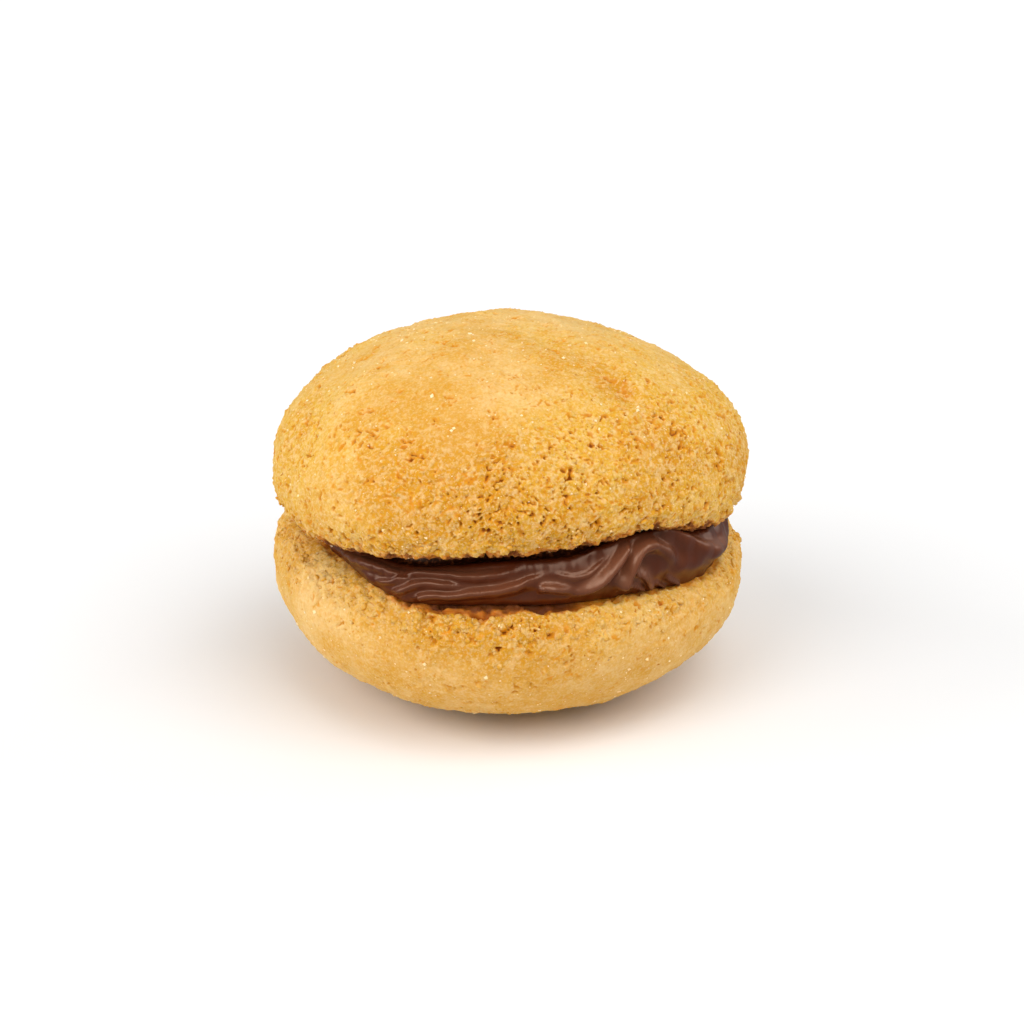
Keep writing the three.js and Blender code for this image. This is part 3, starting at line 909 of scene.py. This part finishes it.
def stroke_relief(flat, stroke):
    """A stroke's height over each place of the flat side, and how far its lean moves it."""
    path, height, above, below, lean, start_taper, end_taper = stroke
    places = np.linspace(0, len(path) - 1, SAMPLES_PER_STROKE)
    bearings, rises = zip(*path)
    line = flat_place(joined(np.arange(len(path)), bearings, places),
                      joined(np.arange(len(path)), rises, places))
    heading = unit(np.gradient(line, axis=0))
    reach = max(above, below)
    near = (flat[:, 0] > line[:, 0].min() - reach) & (flat[:, 0] < line[:, 0].max() + reach)
    relief, moved = np.zeros(len(flat)), np.zeros_like(flat)
    away = flat[near][:, None, :] - line[None, :, :]
    distance = np.linalg.norm(away, axis=2)
    nearest = distance.argmin(1)
    rows = np.arange(len(nearest))
    away, distance = away[rows, nearest], distance[rows, nearest]
    ahead = heading[nearest]
    side = ahead[:, 0] * away[:, 1] - ahead[:, 1] * away[:, 0]
    share = np.minimum(distance / np.where(side > 0, above, below), 1)
    along = nearest / (SAMPLES_PER_STROKE - 1)
    ends = ramp(along, -0.01, start_taper) * (1 - ramp(along, 1 - end_taper, 1.01))
    relief[near] = STROKE_DEPTH * height * ends * (1 - share ** 2) ** 2
    moved[near] = (lean * relief[near])[:, None] * np.stack([-ahead[:, 1], ahead[:, 0]], 1)
    return relief, moved


def cream_relief(flat):
    relief = 0.05 * noise(np.column_stack([flat, np.zeros(len(flat))]), 3.0, SEED + 50)
    moved = np.zeros_like(flat)
    for stroke in STROKES:
        height, shift = stroke_relief(flat, stroke)
        relief += height
        moved += shift
    for bearing, rise, width, depth in HOLLOWS:
        distance = np.linalg.norm(flat - flat_place(bearing, rise), axis=1)
        relief -= depth * np.exp(-(distance / width) ** 2)
    return relief, moved


def softened(grid, passes):
    """Values on a grid, each averaged with its neighbours some number of times."""
    for _ in range(passes):
        for axis in (0, 1):
            grid = (np.roll(grid, 1, axis) + grid + np.roll(grid, -1, axis)) / 3
    return grid


def with_strokes(grid, bearings, steps):
    """The cream's side with its strokes, each point moved along the side and out from it, and
    how much each point lies on the upper flank of a stroke, which gets a painted highlight."""
    rise = (steps - CONTACT_GUIDE) / (SHOULDER_GUIDE - CONTACT_GUIDE)
    bearing_grid, rise_grid = np.meshgrid(bearings, rise)
    relief, moved = cream_relief(flat_place(bearing_grid, rise_grid).reshape(-1, 2))
    side = (ramp(rise_grid, 0.0, 0.12) * (1 - ramp(rise_grid, 1.0, 1.3))).ravel()
    relief *= side
    moved *= side[:, None]
    step_up = np.gradient(rise) * BAND_HEIGHT
    slope = -np.gradient(relief.reshape(rise_grid.shape), axis=0) / step_up[:, None]
    # Where the cream gets a painted highlight: the upper flanks of its strokes.
    upper = softened(ramp(slope, 0.03, 0.95), 4)
    along = unit(np.roll(grid, -1, 1) - np.roll(grid, 1, 1))
    upwards = unit(np.gradient(grid, axis=0))
    out = unit(np.cross(along, upwards))
    shape = grid.shape[:2] + (1,)
    places = (grid + out * relief.reshape(shape) + along * moved[:, 0].reshape(shape)
              + upwards * moved[:, 1].reshape(shape))
    return places, upper


def make_cream():
    bearings = cream_columns()
    steps = np.linspace(0, LAST_GUIDE, CREAM_ROWS)
    grid, upper = with_strokes(cream_surface(bearings, steps), bearings, steps)
    points = grid.reshape(-1, 3)
    here = np.arange(len(points)).reshape(grid.shape[:2])
    beside = np.roll(here, -1, 1)
    quads = np.stack([here[:-1], beside[:-1], beside[1:], here[1:]], -1).reshape(-1, 4)
    tips = [(*cream_centre()[:2], grid[row, :, 2].mean()) for row in (0, -1)]
    faces = np.concatenate([quads[:, [0, 1, 2]], quads[:, [0, 2, 3]],
                            fan(here[0], len(points))[:, [1, 0, 2]], fan(here[-1], len(points) + 1)])
    # Where the cream turns in under the top biscuit, which gets a painted shade.
    slit_painted_shade = np.repeat(ramp(steps, SHOULDER_GUIDE - 0.1, SHOULDER_GUIDE + 0.6), len(bearings))
    shades = {"slit_painted_shade": np.append(slit_painted_shade, (0, 0)), "upper": np.append(upper, (0, 0))}
    vertices = np.concatenate([points, tips])
    piece = new_piece("chocolate_cream", vertices, faces, shades)
    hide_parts("filling")
    return piece


# ====== materials

class Graph:
    """Short calls for building a material's nodes, with sizes in millimetres."""

    def __init__(self, name):
        self.material = bpy.data.materials.new(name)
        self.material.use_nodes = True
        self.nodes = self.material.node_tree.nodes
        self.links = self.material.node_tree.links
        self.nodes.clear()
        output = self.nodes.new("ShaderNodeOutputMaterial")
        self.shader = self.nodes.new("ShaderNodeBsdfPrincipled")
        self.links.new(self.shader.outputs["BSDF"], output.inputs["Surface"])
        self.place = self.nodes.new("ShaderNodeTexCoord").outputs["Object"]

    def fill(self, node, values):
        """Sets or links a node's inputs, each given by its name or number."""
        for key, value in values.items():
            if isinstance(value, bpy.types.NodeSocket):
                self.links.new(value, node.inputs[key])
            else:
                node.inputs[key].default_value = value

    def add(self, kind, values, output, **settings):
        """One output of a new node."""
        node = self.nodes.new("ShaderNode" + kind)
        for key, value in settings.items():
            setattr(node, key, value)
        self.fill(node, values)
        return node.outputs[output]

    def attribute(self, name):
        return self.add("Attribute", {}, "Fac", attribute_name=name)

    def noise(self, size, detail=2.0, roughness=0.5, place=None, output="Fac"):
        values = {"Vector": place or self.place, "Scale": 1 / (size * MM), "Detail": detail,
                  "Roughness": roughness}
        return self.add("TexNoise", values, output)

    def shifted(self, size, amount):
        """Places moved about by noise, so that what is made from them comes out irregular."""
        moves = self.noise(size, 1.0, output="Color")
        values = {0: moves, 1: (amount * MM,) * 3, 2: self.place}
        return self.add("VectorMath", values, "Vector", operation="MULTIPLY_ADD")

    def math(self, operation, *values):
        return self.add("Math", dict(enumerate(values)), "Value", operation=operation)

    def spread(self, value, low, high, to_low=0.0, to_high=1.0):
        """A value moved smoothly from one range to another."""
        values = {"Value": value, "From Min": low, "From Max": high,
                  "To Min": to_low, "To Max": to_high}
        return self.add("MapRange", values, "Result", interpolation_type="SMOOTHSTEP")

    def mix(self, share, a, b):
        return self.add("Mix", {"Factor": share, "A": a, "B": b}, "Result", data_type="RGBA")

    def bump(self, height, strength, distance, under=None):
        values = {"Height": height, "Strength": strength, "Distance": distance * MM}
        if under is not None:
            values["Normal"] = under
        return self.add("Bump", values, "Normal")

    def finished(self, base, normal, roughness, values):
        """The material, once its shader's inputs are filled in."""
        self.fill(self.shader, {"Base Color": base, "Normal": normal, "Roughness": roughness, **values})
        return self.material


def colour(red, green, blue):
    """A linear colour from the 0 to 255 numbers of a screen colour."""
    def linear(value):
        value /= 255
        return value / 12.92 if value <= 0.04045 else ((value + 0.055) / 1.055) ** 2.4
    return (linear(red), linear(green), linear(blue), 1.0)


# The materials' colours. Those of the crumb go from pale to deep at about the same hue.
PALE_CRUST, GOLDEN_CRUST = colour(230, 187, 116), colour(214, 158, 62)
PALE_CRUMB, GOLDEN_CRUMB = colour(219, 170, 56), colour(203, 144, 22)
PALE_BLOTCH, DEEP_BLOTCH = colour(232, 197, 134), colour(211, 150, 26)
PALE_GRAIN, DEEP_GRAIN = colour(233, 200, 144), colour(216, 149, 10)
PALE_GRIT, DEEP_GRIT = colour(236, 207, 154), colour(218, 151, 18)
# Painted shade: deeper orange and brown in the crumb's gaps, crevices and pits, and dark orange in its
# small holes.
RECESS_PAINTED_SHADE, DEEP_RECESS_PAINTED_SHADE, PINHOLE_PAINTED_SHADE = colour(214, 138, 6), colour(152, 76, 2), colour(188, 107, 2)
# A pale colour for some loose grains, and painted shade at each grain's sunk foot.
LOOSE_CRUMB, CRUMB_FOOT_PAINTED_SHADE = colour(236, 204, 148), colour(216, 151, 22)
# Orange and dark brown of cream soaked into the crumb, also used as painted shadow under the cream.
STAIN_EDGE_AND_SHADOW, DARK_STAIN_AND_SHADOW = colour(200, 112, 26), colour(98, 44, 14)
SUGAR, WARM_SUGAR = colour(255, 232, 190), colour(252, 218, 158)
NUT_SKIN, NUT = colour(158, 116, 72), colour(200, 152, 92)
CREAM, DEEP_CREAM = colour(82, 29, 4), colour(74, 25, 4)
# A paler colour painted on the strokes' upper flanks as a highlight.
PAINTED_FLANK_HIGHLIGHT = colour(160, 106, 76)
# Near-black painted shade in the slit under the top biscuit, and the brown bits in it.
SLIT_PAINTED_SHADE, SLIT_BITS = colour(34, 11, 4), colour(124, 70, 36)


def under_skin(weight, radius, depth):
    """A shader's inputs for light that spreads beneath the surface."""
    return {"Subsurface Weight": weight, "Subsurface Radius": radius, "Subsurface Scale": depth * MM}


def crumb_colour(graph):
    """The baked crumb's colour: pale and golden where smooth, deeper where it is open or where its
    patches darken it, which are partly baked colour and partly painted light and shade."""
    baked = graph.math("MULTIPLY", graph.attribute("baked"), 0.25)
    patches = graph.spread(graph.math("ADD", graph.noise(5.0, 5.0, 0.68), baked), 0.36, 0.72)
    smooth = graph.mix(patches, PALE_CRUST, GOLDEN_CRUST)
    opened = graph.mix(patches, PALE_CRUMB, GOLDEN_CRUMB)
    return graph.mix(graph.spread(graph.attribute("crumbly"), 0.15, 0.75), smooth, opened)


def soaked_and_shaded(graph, base):
    """The crumb's colour where cream has soaked in, also used as painted shadow under the cream
    and the top biscuit's rim: orange at the edge and dark brown within.
    """
    stain_and_shade = graph.attribute("stain_and_shade")
    base = graph.mix(graph.spread(stain_and_shade, 0.05, 0.5, 0.0, 0.7), base, STAIN_EDGE_AND_SHADOW)
    return graph.mix(graph.spread(stain_and_shade, 0.35, 0.95, 0.0, 0.9), base, DARK_STAIN_AND_SHADOW)


def pinholes(graph, crumbly):
    """1 in small irregular holes, wider and more of them where the crumb is open."""
    open_part = graph.spread(crumbly, 0.15, 0.85, -0.035, 0.015)
    field = graph.math("SUBTRACT", graph.noise(0.62, 3.0, 0.62), open_part)
    return graph.spread(field, 0.27, 0.33, 1.0, 0.0)


def speckled(graph, base, strength):
    """The crumb's colour with its grain, pale on the grains and deeper between them, how high each
    place of it is, and its finest grain alone."""
    places = graph.shifted(0.4, 0.15)
    blotch = graph.noise(1.1, 4.0, 0.65, place=places)
    fine = graph.noise(0.42, 3.0, 0.6, place=places)
    grit = graph.noise(0.19, 2.0, 0.6)
    grit_strength = graph.math("MULTIPLY_ADD", strength, 0.38, 0.47)
    base = graph.mix(graph.spread(blotch, 0.50, 0.68, 0.0, 0.45), base, DEEP_BLOTCH)
    base = graph.mix(graph.spread(blotch, 0.34, 0.48, 0.4, 0.0), base, PALE_BLOTCH)
    for share, its_strength, shade in (
            (graph.spread(fine, 0.46, 0.66, 0.0, 0.5), strength, PALE_GRAIN),
            (graph.spread(fine, 0.30, 0.46, 0.65, 0.0), strength, DEEP_GRAIN),
            (graph.spread(grit, 0.48, 0.66, 0.0, 0.5), grit_strength, PALE_GRIT),
            (graph.spread(grit, 0.34, 0.48, 0.5, 0.0), grit_strength, DEEP_GRIT)):
        base = graph.mix(graph.math("MULTIPLY", share, its_strength), base, shade)
    return base, graph.math("ADD", fine, blotch), grit


def crumb_material():
    graph = Graph("baked_crumb")
    recess, crumbly = graph.attribute("recess"), graph.attribute("crumbly")
    strength = graph.spread(crumbly, 0.2, 0.8, 0.25, 1.0)
    base, height, grit = speckled(graph, crumb_colour(graph), strength)
    hole = pinholes(graph, crumbly)
    # Painted shade in the gaps, crevices and pits, and in the small holes.
    base = graph.mix(graph.spread(recess, 0.08, 0.5, 0.0, 0.85), base, RECESS_PAINTED_SHADE)
    base = graph.mix(graph.spread(recess, 0.55, 1.0, 0.0, 0.9), base, DEEP_RECESS_PAINTED_SHADE)
    base = graph.mix(graph.math("MULTIPLY", hole, 0.9), base, PINHOLE_PAINTED_SHADE)
    normal = graph.bump(grit, 0.4, 0.06)
    normal = graph.bump(graph.math("SUBTRACT", height, hole), 0.5, 0.16, normal)
    return graph.finished(soaked_and_shaded(graph, base), normal, 0.6,
                          {"Specular IOR Level": 0.18, **under_skin(0.8, (1.0, 0.85, 0.7), 0.25)})


def grain_material():
    graph = Graph("crumb_grains")
    base, _, grit = speckled(graph, crumb_colour(graph), 0.7)
    base = graph.mix(graph.spread(graph.attribute("tone"), 0.5, 1.0, 0.0, 0.2), base, LOOSE_CRUMB)
    # Painted shade: each grain coloured deeper orange towards its sunk foot.
    base = graph.mix(graph.spread(graph.attribute("tip"), -0.3, 0.75, 0.9, 0.0), base, CRUMB_FOOT_PAINTED_SHADE)
    return graph.finished(soaked_and_shaded(graph, base), graph.bump(grit, 0.4, 0.04), 0.6,
                          {"Specular IOR Level": 0.25, **under_skin(0.15, (1.0, 0.85, 0.7), 0.04)})


def sugar_material():
    graph = Graph("sugar_crystals")
    tint = graph.spread(graph.noise(0.6), 0.35, 0.65)
    bump = graph.bump(graph.noise(0.08, 1.0), 0.3, 0.01)
    return graph.finished(graph.mix(tint, SUGAR, WARM_SUGAR), bump, 0.45,
                          {"Specular IOR Level": 0.35, **under_skin(0.3, (1.0, 0.75, 0.5), 0.05)})


def nut_material():
    graph = Graph("nut_flecks")
    tint = graph.spread(graph.noise(0.25, 3.0, 0.6), 0.38, 0.62)
    bump = graph.bump(graph.noise(0.1, 2.0, 0.6), 0.4, 0.03)
    return graph.finished(graph.mix(tint, NUT_SKIN, NUT), bump, 0.55, {})


def cream_material():
    graph = Graph("chocolate_cream")
    base = graph.mix(graph.spread(graph.noise(3.5, 3.0), 0.35, 0.65), CREAM, DEEP_CREAM)
    # Painted highlight: the strokes' upper flanks are coloured paler, as a sheen.
    base = graph.mix(graph.math("MULTIPLY", graph.attribute("upper"), 0.5), base, PAINTED_FLANK_HIGHLIGHT)
    # Painted shade: the cream's top in the slit under the top biscuit, near black with brown bits.
    bits = graph.spread(graph.noise(0.35, 3.0, 0.6), 0.50, 0.62)
    slit_painted_shade = graph.math("MULTIPLY", graph.attribute("slit_painted_shade"), 0.85)
    base = graph.mix(slit_painted_shade, base, graph.mix(bits, SLIT_PAINTED_SHADE, SLIT_BITS))
    return graph.finished(base, graph.bump(graph.noise(0.25), 0.15, 0.02), 0.3,
                          {"Specular IOR Level": 0.75, "Specular Tint": (1.0, 0.7, 0.52, 1.0)})


def floor_material():
    graph = Graph("pale_floor")
    base = graph.mix(graph.noise(40.0, 3.0), (0.9, 0.9, 0.9, 1.0), (0.873, 0.873, 0.873, 1.0))
    graph.fill(graph.shader, {"Base Color": base, "Roughness": 0.7})
    return graph.material


# ====== stage

def make_floor():
    mesh = bpy.data.meshes.new("studio_floor")
    half = FLOOR_SIDE / 2
    mesh.from_pydata([(-half, -half, 0), (half, -half, 0), (half, half, 0), (-half, half, 0)],
                     [], [(0, 1, 2, 3)])
    floor = bpy.data.objects.new("studio_floor", mesh)
    bpy.context.scene.collection.objects.link(floor)
    floor.data.materials.append(floor_material())
    floor.visible_glossy = False    # its reflection would grey the chocolate
    floor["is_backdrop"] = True


def soft_sun(name, bearing, elevation, spread, strength):
    light = bpy.data.lights.new(name, "SUN")
    light.angle = math.radians(spread)
    light.energy = strength
    lamp = bpy.data.objects.new(name, light)
    source = Vector(direction(math.radians(elevation), math.radians(bearing)))
    lamp.rotation_euler = source.to_track_quat("Z", "Y").to_euler()
    bpy.context.scene.collection.objects.link(lamp)


def make_lights():
    """Soft studio lights, and a white background that lights the object only faintly."""
    for name, light in SOFTBOXES.items():
        soft_sun(name, *light)
    world = bpy.data.worlds.new("pale_studio")
    world.use_nodes = True
    background = world.node_tree.nodes["Background"]
    background.inputs["Color"].default_value = (1, 1, 1, 1)
    seen = world.node_tree.nodes.new("ShaderNodeLightPath").outputs["Is Camera Ray"]
    strength = world.node_tree.nodes.new("ShaderNodeMapRange")
    world.node_tree.links.new(seen, strength.inputs["Value"])
    strength.inputs["To Min"].default_value = WORLD_LIGHT
    world.node_tree.links.new(strength.outputs["Result"], background.inputs["Strength"])
    bpy.context.scene.world = world


def make_camera(target):
    data = bpy.data.cameras.new("camera")
    data.lens = LENS
    data.sensor_width = SENSOR
    data.clip_start = 0.01
    camera = bpy.data.objects.new("camera", data)
    elevation = math.radians(VIEW_ELEVATION)
    back = Vector((0, -math.cos(elevation), math.sin(elevation)))
    camera.location = (Vector(target) + back * VIEW_DISTANCE) * MM
    camera.rotation_euler = (-back).to_track_quat("-Z", "Y").to_euler()
    bpy.context.scene.collection.objects.link(camera)
    bpy.context.scene.camera = camera


# ====== the whole

box_middle = (Vector(CAD_BOX[0]) + Vector(CAD_BOX[1])) / 2 / MM
look_at = box_middle + Vector(LOOK_AT_OFFSET)
make_camera(look_at)
make_lights()
make_floor()
bpy.context.scene.view_settings.view_transform = "Standard"

materials = (crumb_material(), grain_material(), sugar_material(), nut_material())
for name, seed in (("top_biscuit", SEED + 100), ("bottom_biscuit", SEED + 200)):
    for piece, material in zip(make_biscuit(name, seed), materials):
        piece.data.materials.append(material)

cream = make_cream()
cream.data.materials.append(cream_material())
